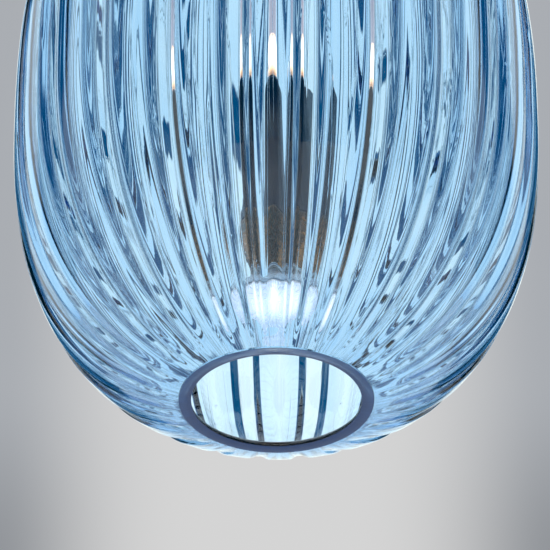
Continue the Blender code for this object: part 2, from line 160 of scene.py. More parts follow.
class Finish:
    """A node material in the making."""

    def __init__(self, owner):
        owner.use_nodes = True
        self.owner = owner
        self.tree = owner.node_tree
        self.tree.nodes.clear()

    def node(self, kind, settings=(), sockets=(), output=0):
        """Add a node with its settings, then its sockets, and give one output."""
        made = self.tree.nodes.new(kind)
        for key, value in dict(settings).items():
            if key == "stops":
                self.set_stops(made.color_ramp, value)
            else:
                setattr(made, key, value)
        for key, value in dict(sockets).items():
            if isinstance(value, Term):
                self.tree.links.new(value.socket, made.inputs[key])
            else:
                made.inputs[key].default_value = value
        return Term(self, made.outputs[output])

    def set_stops(self, ramp, stops):
        """Give a ramp its (place, colour) stops."""
        while len(ramp.elements) < len(stops):
            ramp.elements.new(1.0)
        for element, (place, shade) in zip(ramp.elements, stops):
            element.position = place
            element.color = (*shade, 1)

    def math(self, operation, *values):
        """A Math node on the values."""
        return self.node("ShaderNodeMath", {"operation": operation}, dict(enumerate(values)))

    def place(self):
        """Object coordinates."""
        return self.node("ShaderNodeTexCoord", output="Object")

    def vector(self, operation, *values):
        """A Vector Math node on the values."""
        return self.node("ShaderNodeVectorMath", {"operation": operation}, dict(enumerate(values)))

    def stretched(self, factors):
        """Object coordinates times three factors."""
        return self.vector("MULTIPLY", self.place(), factors)

    def around(self, turn_scale, height_scale):
        """Coordinates that run round the lantern's axis and up it."""
        flat = self.stretched((1, 1, 0))
        ray = self.node(
            "ShaderNodeVectorMath",
            {"operation": "SCALE"},
            {0: self.vector("NORMALIZE", flat), "Scale": turn_scale},
        )
        return self.vector("ADD", ray, self.stretched((0, 0, height_scale)))

    def noise(self, where, scale, detail=2, roughness=0.5, distortion=0):
        """Noise from 0 to 1 at a place."""
        return self.node(
            "ShaderNodeTexNoise",
            {},
            {
                "Vector": where,
                "Scale": scale,
                "Detail": detail,
                "Roughness": roughness,
                "Distortion": distortion,
            },
        )

    def step(self, value, low, high, start=0.0, end=1.0):
        """Move smoothly from start to end as a value goes from low to high."""
        return self.node(
            "ShaderNodeMapRange",
            {"interpolation_type": "SMOOTHSTEP"},
            {0: value, 1: low, 2: high, 3: start, 4: end},
        )

    def mix(self, factor, first, second):
        """Blend two colours."""
        first = first if isinstance(first, Term) else (*first, 1)
        second = second if isinstance(second, Term) else (*second, 1)
        return self.node(
            "ShaderNodeMix", {"data_type": "RGBA"}, {0: factor, 6: first, 7: second}, output=2
        )

    def bump(self, height, distance):
        """A normal from a height of 0 to 1 and its size in metres."""
        sockets = {"Height": height, "Distance": distance, "Strength": 1.0}
        return self.node("ShaderNodeBump", {}, sockets)

    def done(self, sockets, volume=None, share=None, over=None):
        """Close the material with a Principled shader, and a second one laid over it in part."""
        shader = self.node("ShaderNodeBsdfPrincipled", {}, sockets)
        if over:
            top = self.node("ShaderNodeBsdfPrincipled", {}, over)
            shader = self.node("ShaderNodeMixShader", {}, {0: share, 1: shader, 2: top})
        ends = {"Surface": shader}
        if volume:
            ends["Volume"] = volume
        end = self.tree.nodes.new("ShaderNodeOutputMaterial")
        for name, term in ends.items():
            self.tree.links.new(term.socket, end.inputs[name])
        return self.owner


def finish(name):
    """Start a material."""
    return Finish(bpy.data.materials.new(name))


def colours():
    """The lantern's colour settings."""
    return bpy.context.scene.lantern_colours


def sizes():
    """The lantern's size settings."""
    return bpy.context.scene.lantern_sizes


# ---------------------------------------------------------------- finishes


def blue_glass():
    """Blown blue glass: fine cords that run up the shade, seeds, colour in its depth, and painted
    navy shade laid over its flat ground rim.
    """
    f = finish("blue_glass")
    cords = f.noise(f.around(46, 3.5), 1.0, 1, 0.5, 0.2)
    streaks = f.noise(f.around(150, 7), 1.0, 2, 0.55)
    swell = f.noise(f.stretched((14, 14, 7)), 1.0, 1)
    drawn = f.noise(f.around(20, 5), 1.0, 1, 0.5, 0.4)
    off = f.math("ABSOLUTE", drawn - 0.5)
    threads = f.step(off, 0.0, 0.022, 1.0, 0.0)
    seeds = f.node(
        "ShaderNodeTexVoronoi", {"feature": "F1"}, {"Vector": f.stretched((1, 1, 0.7)), "Scale": 70}
    )
    rare = f.step(f.noise(f.place(), 34, 1), 0.56, 0.60)
    pits = f.step(seeds, 0.03, 0.065, 1.0, 0.0) * rare
    relief = cords * 0.04 + streaks * 0.004 + threads * 0.07 + swell * 0.8 - pits * 0.4
    normal = f.bump(relief, 0.00022)
    tint = f.mix(cords, (0.93, 0.97, 1.0), (1.0, 1.0, 1.0))
    _, _, z = f.place().parts()
    # Painted shade: an opaque navy layer covers most of the flat ground rim, in place of the dark
    # light bent through it.
    ground = f.step(z, RIM + 0.1 * MM, RIM + 0.3 * MM, 0.85, 0.0)
    # The painted navy of the rim, mottled by the cords.
    grain = f.mix(cords, (0.004, 0.034, 0.13), (0.010, 0.052, 0.18))
    depth = f.node(
        "ShaderNodeVolumeAbsorption",
        {},
        {"Color": (*colours().glass, 1), "Density": colours().density},
    )
    return f.done(
        {
            "Base Color": tint,
            "Roughness": 0.0,
            "IOR": 1.5,
            "Transmission Weight": 1.0,
            "Normal": normal,
        },
        depth,
        # The painted navy rim layer, laid over the glass.
        ground,
        {"Base Color": grain, "Roughness": 0.3, "Normal": normal},
    )


def clear_glass():
    """Pressed clear glass of the lamp's front, with rings of small prisms and a painted glow: warm
    lamp light hot in the middle, a pale bluish glow over the rest and the frost.
    """
    f = finish("clear_glass")
    x, y, _ = f.place().parts()
    rings = f.math("SQRT", x * x + y * y)
    prisms = f.math("SINE", rings * 5200)
    rays = f.noise(f.around(26, 0), 1.0, 2, 0.6)
    frost = f.step(rays, 0.3, 0.7)
    # Painted glow: warm light in the middle, pale bluish grey further out.
    hot = f.step(rings, 0.004, 0.019, 1.0, 0.0)
    lit = f.mix(hot, (0.30, 0.34, 0.40), (1.0, 0.93, 0.82))
    return f.done(
        {
            "Base Color": f.mix(frost, (0.80, 0.84, 0.88), (0.97, 0.97, 0.97)),
            "Roughness": f.step(frost, 0, 1, 0.22, 0.4),
            "Transmission Weight": 0.55,
            "IOR": 1.5,
            # Painted glow, paler and bluer where the glass is frosted.
            "Emission Color": f.mix(frost * 0.5, lit, (0.16, 0.19, 0.24)),
            "Emission Strength": 0.9,
            "Normal": f.bump(prisms * 0.5 + rays, 0.0004),
        }
    )


def fluted_reflector():
    """Silvered glass of the lamp's bowl, streaked from neck to front."""
    f = finish("fluted_reflector")
    streaks = f.noise(f.around(60, 12), 1.0, 3, 0.6)
    return f.done(
        {
            "Base Color": f.mix(streaks, (0.34, 0.36, 0.40), (0.95, 0.93, 0.90)),
            "Metallic": 0.9,
            "Roughness": f.step(streaks, 0.2, 0.8, 0.08, 0.26),
            "Coat Weight": 0.6,
            "Normal": f.bump(streaks, 0.0005),
        }
    )


def lacquer():
    """Deep navy lacquer on the sleeve, with a faint orange peel."""
    f = finish("navy_lacquer")
    peel = f.noise(f.place(), 900, 2)
    cloud = f.noise(f.stretched((20, 20, 8)), 1.0, 3)
    base = colours().sleeve
    lighter = [min(1, c * 2.2 + 0.004) for c in base]
    return f.done(
        {
            "Base Color": f.mix(f.step(cloud, 0.3, 0.8), base, lighter),
            "Roughness": f.step(cloud, 0.2, 0.8, 0.10, 0.18),
            "Specular IOR Level": 0.35,
            "Normal": f.bump(peel, 0.000001),
        }
    )


def bronze(name, copper_amount):
    """Dark patinated bronze with warm copper patches: painted warm highlights where the amount is
    large, as on the cup, and a faint copper tone where it is small.
    """
    f = finish(name)
    patches = f.noise(f.place(), 55, 4, 0.65, 0.8)
    spots = f.noise(f.place(), 420, 2)
    # Copper patches: painted warm highlights at a large amount, a faint copper tone at a small one.
    painted_highlight_and_copper_tone = f.step(patches + spots * 0.15, 0.52, 0.70, 0.0, copper_amount)
    brushed = f.noise(f.around(4, 2600), 1.0, 2)
    return f.done(
        {
            "Base Color": f.mix(painted_highlight_and_copper_tone, colours().bronze, colours().copper),
            "Metallic": 1.0,
            "Roughness": f.step(spots, 0.25, 0.75, 0.16, 0.34),
            "Normal": f.bump(brushed * 0.5 + spots, 0.00003),
        }
    )


def brushed(name, shade, low, high, scale=2200, coat=0.0):
    """Metal turned or drawn, with fine lines round it."""
    f = finish(name)
    lines = f.noise(f.around(3, scale), 1.0, 3, 0.7)
    stain = f.noise(f.stretched((30, 30, 12)), 1.0, 3)
    dark = [c * 0.72 for c in shade]
    return f.done(
        {
            "Base Color": f.mix(f.step(lines * 0.5 + stain * 0.5, 0.3, 0.7), dark, shade),
            "Metallic": 1.0,
            "Roughness": f.step(lines, 0.25, 0.75, low, high),
            "Coat Weight": coat,
            "Normal": f.bump(lines, 0.00002),
        }
    )


def nickel_with_painted_glow():
    """Satin metal of the stem with a painted glow: the lit collar's light painted warm up its lower
    part, and a faint glow painted over the rest.
    """
    f = finish("satin_nickel")
    lines = f.noise(f.around(3, 2200), 1.0, 3, 0.7)
    shade = colours().nickel
    _, _, z = f.place().parts()
    top = span("glow_collar")[2]
    painted_collar_glow = f.step(z, top - 4 * MM, top + 110 * MM, 1.0, 0.12)
    return f.done(
        {
            "Base Color": f.mix(lines, [c * 0.75 for c in shade], shade),
            "Metallic": 0.75,
            "Roughness": f.step(lines, 0.25, 0.75, 0.30, 0.46),
            # Painted glow: warm near the collar, faint over the whole stem.
            "Emission Color": f.mix(painted_collar_glow, (0.05, 0.045, 0.045), (0.62, 0.50, 0.50)),
            "Emission Strength": 0.9,
            "Normal": f.bump(lines, 0.00001),
        }
    )


def threaded_steel():
    """Zinc-plated steel rod with its thread."""
    f = finish("threaded_steel")
    x, y, z = f.place().parts()
    turn = f.math("ARCTAN2", y, x)
    pitch = 1.0 * MM
    thread = f.math("SINE", z * (TURN / pitch) + turn)
    grime = f.noise(f.place(), 300, 3)
    return f.done(
        {
            "Base Color": f.mix(grime, (0.34, 0.33, 0.31), (0.62, 0.61, 0.58)),
            "Metallic": 1.0,
            "Roughness": f.step(grime, 0.3, 0.7, 0.28, 0.5),
            "Normal": f.bump(thread * 0.5 + 0.5, 0.0005),
        }
    )


def matt(name, shade, roughness, grain=500, depth=0.00003, sheen=0.0):
    """Rubber, ceramic or plastic with a fine grain and faint mottling."""
    f = finish(name)
    fine = f.noise(f.place(), grain, 3)
    broad = f.noise(f.place(), grain / 12, 2)
    darker = [c * 0.8 for c in shade]
    return f.done(
        {
            "Base Color": f.mix(fine * 0.4 + broad * 0.6, darker, shade),
            "Roughness": f.step(fine, 0.2, 0.8, roughness - 0.08, roughness + 0.08),
            "Sheen Weight": sheen,
            "Normal": f.bump(fine, depth),
        }
    )


def glow_diffuser():
    """Frosted warm diffuser whose glow is painted dim brown at its base, brightest in the middle
    and dimmer at its top.
    """
    f = finish("warm_diffuser")
    _, bottom, top = span("glow_collar")
    _, _, z = f.place().parts()
    rise = (z - bottom) / (top - bottom)
    # The glow up the collar: painted dim brown at its base, brightest in the middle.
    lit = f.node(
        "ShaderNodeValToRGB",
        {
            "stops": (
                (0.0, (0.16, 0.06, 0.02)),
                (0.14, (0.85, 0.42, 0.17)),
                (0.4, (1.0, 0.90, 0.74)),
                (0.78, (1.0, 0.84, 0.62)),
                (1.0, (0.45, 0.24, 0.12)),
            )
        },
        {0: rise},
    )
    grain = f.noise(f.place(), 700, 2)
    return f.done(
        {
            "Base Color": f.mix(grain, (0.86, 0.78, 0.66), (0.97, 0.93, 0.86)),
            "Roughness": f.step(grain, 0.2, 0.8, 0.35, 0.5),
            "Emission Color": lit,
            "Emission Strength": 3.2,
            "Normal": f.bump(grain, 0.00002),
        }
    )


def emitter_glow():
    """The lamp's own light, hottest at its middle."""
    f = finish("lamp_light")
    x, y, _ = f.place().parts()
    reach = f.math("SQRT", x * x + y * y)
    return f.done(
        {
            "Base Color": f.mix(f.noise(f.place(), 600), (0.9, 0.8, 0.6), (1.0, 0.95, 0.8)),
            "Roughness": 0.4,
            "Emission Color": f.mix(f.step(reach, 0, 0.006), (1.0, 0.95, 0.86), colours().glow),
            "Emission Strength": 9.0,
        }
    )


def pale_floor():
    """Pale painted floor."""
    f = finish("pale_floor")
    cloud = f.noise(f.place(), 0.8, 3)
    return f.done(
        {
            "Base Color": f.mix(cloud, (0.70, 0.70, 0.70), (0.76, 0.76, 0.76)),
            "Roughness": f.step(cloud, 0, 1, 0.8, 0.9),
        }
    )


# ---------------------------------------------------------------- modelling


def softened(outline, edge, steps=3):
    """The closed outline with its corners rounded."""
    soft = []
    count = len(outline)
    for i, corner in enumerate(outline):
        corner = Vector(corner)
        before, after = Vector(outline[i - 1]), Vector(outline[(i + 1) % count])
        if corner.x < 1e-7:
            soft.append(tuple(corner))
            continue
        back, ahead = before - corner, after - corner
        start = corner + back * min(edge / back.length, 0.45)
        end = corner + ahead * min(edge / ahead.length, 0.45)
        for k in range(steps + 1):
            t = k / steps
            point = start * (1 - t) ** 2 + corner * (2 * t * (1 - t)) + end * t**2
            soft.append(tuple(point))
    return soft


def pick(piece):
    """Select one piece alone and make it the active one."""
    bpy.ops.object.select_all(action="DESELECT")
    piece.select_set(True)
    bpy.context.view_layer.objects.active = piece


def begin(name):
    """A new mesh in edit mode, drawn together to one point."""
    bpy.ops.object.select_all(action="DESELECT")
    bpy.ops.mesh.primitive_plane_add(size=MM)
    piece = bpy.context.object
    piece.name = name
    bpy.ops.object.mode_set(mode="EDIT")
    bpy.ops.mesh.merge(type="CENTER")
    return piece


def turned(name, outline, sides=96, closed=True):
    """Draw an outline of (radius, height) points by extruding, and spin it round the axis."""
    piece = begin(name)
    bpy.ops.transform.translate(value=(outline[0][0], 0, outline[0][1]))
    for (r0, z0), (r1, z1) in zip(outline, outline[1:]):
        bpy.ops.mesh.extrude_region_move(TRANSFORM_OT_translate={"value": (r1 - r0, 0, z1 - z0)})
    if closed:
        edit = bmesh.from_edit_mesh(piece.data)
        edit.verts.ensure_lookup_table()
        edit.verts[0].select_set(True)
        edit.verts[-1].select_set(True)
        bmesh.update_edit_mesh(piece.data)
        bpy.ops.mesh.edge_face_add()
    bpy.ops.mesh.select_all(action="SELECT")
    bpy.ops.mesh.spin(steps=sides, angle=TURN, center=(0, 0, 0), axis=(0, 0, 1))
    bpy.ops.mesh.select_all(action="SELECT")
    bpy.ops.mesh.remove_doubles(threshold=0.000002)
    bpy.ops.mesh.normals_make_consistent(inside=False)
    bpy.ops.object.mode_set(mode="OBJECT")
    return piece


def arc(middle, reach, start, end, steps):
    """Points on an ellipse about a (radius, height), from one angle in degrees to another."""
    points = []
    for i in range(steps + 1):
        angle = math.radians(start + (end - start) * i / steps)
        rise, run = math.sin(angle), math.cos(angle)
        points.append((middle[0] + reach[0] * run, middle[1] + reach[1] * rise))
    return points


def settle(piece, body, material, slot, *nodes, angle=40):
    """Apply a piece's place, give it its finish and its body, and stand it in for CAD nodes."""
    pick(piece)
    bpy.ops.object.transform_apply(location=True, rotation=True, scale=True)
    bpy.ops.object.shade_smooth_by_angle(angle=math.radians(angle))
    piece.data.materials.clear()
    piece.data.materials.append(material)
    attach(piece, body)
    if nodes:
        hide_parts(*nodes)
    return piece


def duplicate(piece, name):
    """A copy of a piece with its own mesh."""
    pick(piece)
    bpy.ops.object.duplicate(linked=False)
    made = bpy.context.object
    made.name = name
    return made


def cut(piece, tool, operation="DIFFERENCE"):
    """Cut a piece with a tool, or join the tool to it, and throw the tool away."""
    pick(piece)
    step = piece.modifiers.new("cut", "BOOLEAN")
    step.operation = operation
    step.solver = "EXACT"
    step.object = tool
    bpy.ops.object.modifier_apply(modifier=step.name)
    bpy.data.objects.remove(tool, do_unlink=True)


def drill(name, radius, depth, place, turn=(0, 0, 0)):
    """A round tool for cutting."""
    bpy.ops.object.select_all(action="DESELECT")
    bpy.ops.mesh.primitive_cylinder_add(
        vertices=40, radius=radius, depth=depth, location=place, rotation=turn
    )
    tool = bpy.context.object
    tool.name = name
    return tool


def carry(material, *nodes):
    """Give a finish to CAD nodes that stay as they are."""
    for node in nodes:
        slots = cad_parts[node].material_slots
        if not slots:
            raise RuntimeError(f"{node} has no material slot")
        for entry in slots:
            entry.material = material


# ---------------------------------------------------------------- shade

WIDEST = RIM + 168 * MM  # height of the widest circle
LOWER_REACH = 172.5 * MM  # from there down and up to where the curve would close
UPPER_REACH = 217 * MM
CURVE_POWER = 2.5  # 2 is an ellipse; more is fuller at the shoulders
RIM_RADIUS = 50.3 * MM
MOUTH_RADIUS = 43.8 * MM
DOME_START = 56 * MM
COLLAR_RADIUS = 50 * MM
COLLAR_BORE = 45 * MM
COLLAR_BASE = RIM + 384 * MM
LIP_RADIUS = 57 * MM
LIP_BOTTOM = RIM + 396 * MM
LIP_TOP = span("glass_shade")[2]
RIB_START = 53 * MM  # radius where the ribs begin
RIB_FULL = 74 * MM  # radius from which they are at their full depth
THIN_RADIUS = 95 * MM  # radius from which the wall is at its thinnest
FLANK_PLACE = math.radians(5.48)  # from a rib's crest to the middle of the groove's flank
FLANK_WIDTH = math.radians(2.97)
INNER_SHARPNESS = 0.66  # power that shapes the swellings inside
SHADE_ROWS = 38  # from the widest circle to the rim, and again to the collar
RIB_COLUMNS = 24
ROUND = 4.2 * MM  # radius of the fire-polished inner edge of the mouth
ROUND_TURN = 66  # degrees through which that edge turns


def smooth(part):
    """0 to 1, easing in and out."""
    part = min(max(part, 0), 1)
    return part * part * (3 - 2 * part)


def shade_radius(height):
    """Radius of the crests at a height."""
    reach = UPPER_REACH if height > WIDEST else LOWER_REACH
    part = min(abs(height - WIDEST) / reach, 1)
    return sizes().crest_radius * (1 - part**CURVE_POWER) ** (1 / CURVE_POWER)


def shade_curve(edge_radius, reach, up):
    """Points of half the outer curve, from the widest circle to a radius."""
    last = math.acos((edge_radius / sizes().crest_radius) ** (CURVE_POWER / 2))
    points = []
    for i in range(SHADE_ROWS + 1):
        turn = last * i / SHADE_ROWS
        radius = sizes().crest_radius * math.cos(turn) ** (2 / CURVE_POWER)
        points.append((radius, WIDEST + up * reach * math.sin(turn) ** (2 / CURVE_POWER)))
    return points


def wall_at(radius):
    """Glass thickness, which grows towards the rim and the collar."""
    part = smooth((radius - RIB_START) / (THIN_RADIUS - RIB_START))
    return sizes().rim_wall + (sizes().wall - sizes().rim_wall) * part


def inner_points(outer):
    """The outer curve moved inwards by the wall, from the bottom to the top."""
    inner = []
    for i in range(2, len(outer) - 1):
        run = outer[i + 1][0] - outer[i - 1][0]
        rise = outer[i + 1][1] - outer[i - 1][1]
        reach = wall_at(outer[i][0]) / math.hypot(run, rise)
        inner.append((outer[i][0] + reach * rise, outer[i][1] - reach * run))
    return inner[::-1]


def shade_outline():
    """The section of the shade before its ribs are pressed in."""
    outer = shade_curve(DOME_START, UPPER_REACH, 1)[::-1]
    outer += shade_curve(RIM_RADIUS, LOWER_REACH, -1)[1:]
    rim = [
        (RIM_RADIUS - 0.15 * MM, RIM + 0.05 * MM),
        (RIM_RADIUS - 0.4 * MM, RIM),
        (MOUTH_RADIUS + 0.5 * MM, RIM),
        (MOUTH_RADIUS + 0.1 * MM, RIM + 0.15 * MM),
        *arc((MOUTH_RADIUS + ROUND, RIM + 0.5 * MM), (-ROUND, ROUND), 0, ROUND_TURN, 10),
    ]
    inner = inner_points(outer)
    lip = softened(
        [
            (COLLAR_BORE, LIP_TOP),
            (LIP_RADIUS, LIP_TOP),
            (LIP_RADIUS, LIP_BOTTOM),
            (COLLAR_RADIUS, LIP_BOTTOM),
            (COLLAR_RADIUS, COLLAR_BASE + MM),
            (COLLAR_BORE, COLLAR_BASE - 4 * MM),
        ],
        1.2 * MM,
    )
    last = len(lip) // 6  # points of the one corner that closes the section
    return lip[:-last] + outer + rim + inner + lip[-last:]


def column_places():
    """Where the columns of half a rib stand, crowded together on the flank of the groove."""
    half = math.pi / sizes().ribs
    fine = 400  # steps in which the crowding is added up
    crowding = 4
    crowd = [0.0]
    for i in range(fine):
        away = (half * (i + 0.5) / fine - FLANK_PLACE) / (0.6 * FLANK_WIDTH)
        crowd.append(crowd[-1] + 1 + crowding * math.exp(-away * away))
    places = []
    step = 0
    count = RIB_COLUMNS // 2
    for i in range(count + 1):
        while step < fine and crowd[step] < crowd[-1] * i / count - 1e-9:
            step += 1
        places.append(half * step / fine)
    return places


def press_ribs(mesh):
    """Sink the grooves into the outside and raise the swellings behind them inside."""
    given = sizes()
    uneven = given.unevenness
    pitch = TURN / given.ribs
    places = column_places()
    for vertex in mesh.vertices:
        x, y, z = vertex.co
        radius = math.hypot(x, y)
        angle = math.atan2(x, -y)  # 0 at the front
        column = round(angle / pitch * RIB_COLUMNS)
        rib = round(column / RIB_COLUMNS)
        inside_rib = column - rib * RIB_COLUMNS
        off = places[abs(inside_rib)]
        height = z - RIM
        strength = 0.0
        if z < COLLAR_BASE - 2 * MM:
            strength = smooth((radius - RIB_START) / (RIB_FULL - RIB_START))
        lean = 0.006 * math.sin(2 * angle + 9 * height) + 0.004 * math.sin(5 * angle - 14 * height)
        turn = rib * pitch + math.copysign(off, inside_rib) + uneven * lean * strength
        outside = abs(radius - shade_radius(z)) < 0.3 * MM
        if outside:
            sink = given.outer_groove * smooth((off - FLANK_PLACE) / FLANK_WIDTH + 0.5)
        else:
            sink = given.inner_swelling * math.sin(off * given.ribs / 2) ** (2 * INNER_SHARPNESS)
        waver = 0.05 * math.sin(3 * angle + 1.3) + 0.04 * math.sin(7 * angle + 9 * height)
        radius -= sink * strength * (1 + uneven * waver)
        vertex.co.x = radius * math.sin(turn)
        vertex.co.y = -radius * math.cos(turn)


class LANTERN_OT_shade(bpy.types.Operator):
    """Blow the ribbed shade with its ground rim, collar and lip"""

    bl_idname = "lantern.shade"
    bl_label = "Ribbed Shade"

    def execute(self, context):
        piece = turned("ribbed_shade", shade_outline(), sizes().ribs * RIB_COLUMNS)
        press_ribs(piece.data)
        settle(piece, "lantern", blue_glass(), "blue_glass", "glass_shade", angle=60)
        return {"FINISHED"}


# ---------------------------------------------------------------- gallery


class LANTERN_OT_gallery(bpy.types.Operator):
    """Spin the gallery cap, drill it, and fit the knurled thumb screws"""

    bl_idname = "lantern.gallery"
    bl_label = "Gallery and Screws"

    def execute(self, context):
        metal = bronze("gallery_bronze", 0.16)
        cap = turned("spun_cap", self.cap_outline(), 144)
        for name in SCREWS:
            axis = self.screw_axis(name)
            middle = span("gallery_cap")[0] - 1 * MM
            place = (axis.x * middle, axis.y * middle, self.screw_height(name))
            angle = math.atan2(axis.y, axis.x)
            cut(cap, drill("screw_hole", 2.3 * MM, 8 * MM, place, (0, math.pi / 2, angle)))
        settle(cap, "lantern", metal, "bronze", "gallery_cap")
        first = self.screw()
        for name in SCREWS:
            screw = duplicate(first, "knurled_" + name)
            axis = self.screw_axis(name)
            angle = math.atan2(axis.y, axis.x)
            corners = [Vector((p[0], p[1], 0)).dot(axis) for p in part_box(name)]
            reach = min(r for r in corners if r > 0)
            screw.location = (axis.x * reach, axis.y * reach, self.screw_height(name))
            screw.rotation_euler = (0, math.pi / 2, angle)
            settle(screw, name, metal, "bronze", name)
        bpy.data.objects.remove(first, do_unlink=True)
        carry(matt("gasket_rubber", (0.03, 0.03, 0.032), 0.75), "lip_gasket")
        return {"FINISHED"}

    def screw_axis(self, name):
        """The direction in which a screw points away from the axis."""
        low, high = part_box(name)
        middle = (Vector(low) + Vector(high)) / 2
        grid = math.radians(30)  # the screws stand on round angles
        turn = round(math.atan2(middle.y, middle.x) / grid) * grid
        return Vector((math.cos(turn), math.sin(turn), 0))

    def screw_height(self, name):
        """Height of a screw's axis."""
        low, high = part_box(name)
        return (low[2] + high[2]) / 2

    def cap_outline(self):
        """The cap: crown, cone, flat, rolled shoulder and a beaded skirt."""
        radius, bottom, top = span("gallery_cap")
        sheet = 2 * MM
        flat = RIM + 406.3 * MM
        outline = [
            (ROD, top),
            (15 * MM, top),
            (32 * MM, top - 6.8 * MM),
            (45 * MM, flat + 0.5 * MM),
            (56 * MM, flat),
            (radius - 0.8 * MM, flat - 1.6 * MM),
            (radius - 0.6 * MM, bottom + 4.4 * MM),
            (radius, bottom + 3.6 * MM),
            (radius, bottom),
            (radius - sheet, bottom),
            (radius - sheet, flat - sheet),
            (44 * MM, flat - sheet),
            (31 * MM, top - sheet - 6.6 * MM),
            (14.6 * MM, top - sheet),
            (ROD, top - sheet),
        ]
        return softened(outline, 0.9 * MM, 4)

    def screw(self):
        """One screw along Z, its tip at the origin, with a knurled and dished head."""
        low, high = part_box(SCREWS[0])
        radius = (high[2] - low[2]) / 2
        total = high[1] - low[1]
        head = total - 8 * MM
        shank = 2 * MM
        outline = [
            (0, total - 0.7 * MM),
            (radius - 2.6 * MM, total - 0.7 * MM),
            (radius - 2.1 * MM, total),
            (radius - 0.8 * MM, total),
            (radius, total - 0.8 * MM),
            (radius, head + 0.8 * MM),
            (radius - 0.8 * MM, head),
            (shank + 1.4 * MM, head),
            (shank, head - 0.9 * MM),
            (shank, 0.6 * MM),
            (shank - 0.6 * MM, 0),
            (0, 0),
        ]
        sides = 72
        knurl = 0.35 * MM
        screw = turned("thumb_screw", outline, sides, closed=False)
        for vertex in screw.data.vertices:
            x, y, _ = vertex.co
            edge = math.hypot(x, y)
            column = round(math.atan2(y, x) / TURN * sides)
            if edge > radius - 0.3 * MM and column % 2:
                vertex.co.x *= 1 - knurl / edge
                vertex.co.y *= 1 - knurl / edge
        return screw


# ---------------------------------------------------------------- stem and loop


class LANTERN_OT_hanger(bpy.types.Operator):
    """Turn the stem tube and boss, and forge the hanging loop"""

    bl_idname = "lantern.hanger"
    bl_label = "Stem, Boss and Loop"

    def execute(self, context):
        metal = bronze("loop_bronze", 0.16)
        radius, bottom, top = span("stem_tube")
        bore = radius - 1.4 * MM
        tube = [(bore, top), (radius, top), (radius, bottom), (bore, bottom)]
        nickel = nickel_with_painted_glow()
        stem = turned("satin_stem", softened(tube, 0.3 * MM), 96)
        settle(stem, "lantern", nickel, "satin_nickel", "stem_tube")

        radius, bottom, top = span("crown_boss")
        boss = [
            (ROD, top),
            (9 * MM, top),
            (11.2 * MM, top - 2.7 * MM),
            (11.4 * MM, top - 4.2 * MM),
            (12.6 * MM, bottom + 5.4 * MM),
            (13.4 * MM, bottom + 3 * MM),
            (radius, bottom + 1.8 * MM),
            (radius, bottom),
            (10.8 * MM, bottom),
            (10.8 * MM, bottom + 6 * MM),
            (8 * MM, bottom + 8 * MM),
            (ROD, bottom + 8 * MM),
        ]
        settle(
            turned("turned_boss", softened(boss, sizes().edge), 96),
            "lantern",
            metal,
            "bronze",
            "crown_boss",
        )
        settle(self.loop(), "lantern", metal, "bronze", "hanging_loop", angle=30)
        self.bushing()
        steel = brushed("plated_steel", (0.58, 0.57, 0.55), 0.26, 0.45, 1200)
        carry(steel, "crown_nut", "cap_washer", "stem_nut", "sleeve_nut", "rod_end_nut")
        carry(threaded_steel(), "threaded_rod")
        sleeving = matt("lead_sleeving", (0.78, 0.77, 0.72), 0.55, 1500, 0.00006)
        carry(sleeving, "lamp_lead_1", "lamp_lead_2")
        return {"FINISHED"}

    def loop(self):
        """The round wire ring, welded to its threaded collar, with the cord's way through."""
        low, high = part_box("hanging_loop")
        wire = 3 * MM
        ring_radius = high[0] - wire
        centre = high[2] - ring_radius - wire
        neck_radius = span("hanging_loop")[0]
        bottom, top = low[2], RIM + 453 * MM
        bore = 3.4 * MM
        seat = RIM + 446.3 * MM
        collar = [
            (bore, top),
            (neck_radius - 1.4 * MM, top),
            (neck_radius, top - 2.2 * MM),
            (neck_radius, bottom + 4.6 * MM),
            (neck_radius - 0.7 * MM, bottom + 4 * MM),
            (neck_radius - 0.7 * MM, bottom + 3 * MM),
            (neck_radius, bottom + 2.4 * MM),
            (neck_radius, bottom),
            (ROD, bottom),
            (ROD, seat),
            (bore, seat),
        ]
        neck = turned("forged_loop", softened(collar, 0.4 * MM), 72)
        bpy.ops.object.select_all(action="DESELECT")
        bpy.ops.mesh.primitive_torus_add(
            major_segments=96,
            minor_segments=32,
            major_radius=ring_radius,
            minor_radius=wire,
            location=(0, 0, centre),
            rotation=(math.pi / 2, 0, 0),
        )
        ring = bpy.context.object
        cut(neck, ring, "UNION")
        cut(neck, drill("cord_way", bore, 14 * MM, (0, 0, seat + 7.05 * MM)))
        cut(neck, drill("thread_way", ROD, 20 * MM, (0, 0, seat - 10 * MM)))
        return neck

    def bushing(self):
        """The flanged rubber bushing that lines the cord's way."""
        radius, bottom, top = span("cord_bushing")
        bore = 2.7 * MM
        seat = top - 1.5 * MM
        outline = [
            (bore, top),
            (radius, top),
            (radius, seat),
            (3.1 * MM, seat),
            (3.1 * MM, bottom),
            (bore, bottom),
        ]
        piece = turned("rubber_bushing", softened(outline, 0.35 * MM), 64)
        rubber = matt("bushing_rubber", (0.03, 0.03, 0.032), 0.6)
        settle(piece, "lantern", rubber, "rubber", "cord_bushing")


# ---------------------------------------------------------------- lit collar and column


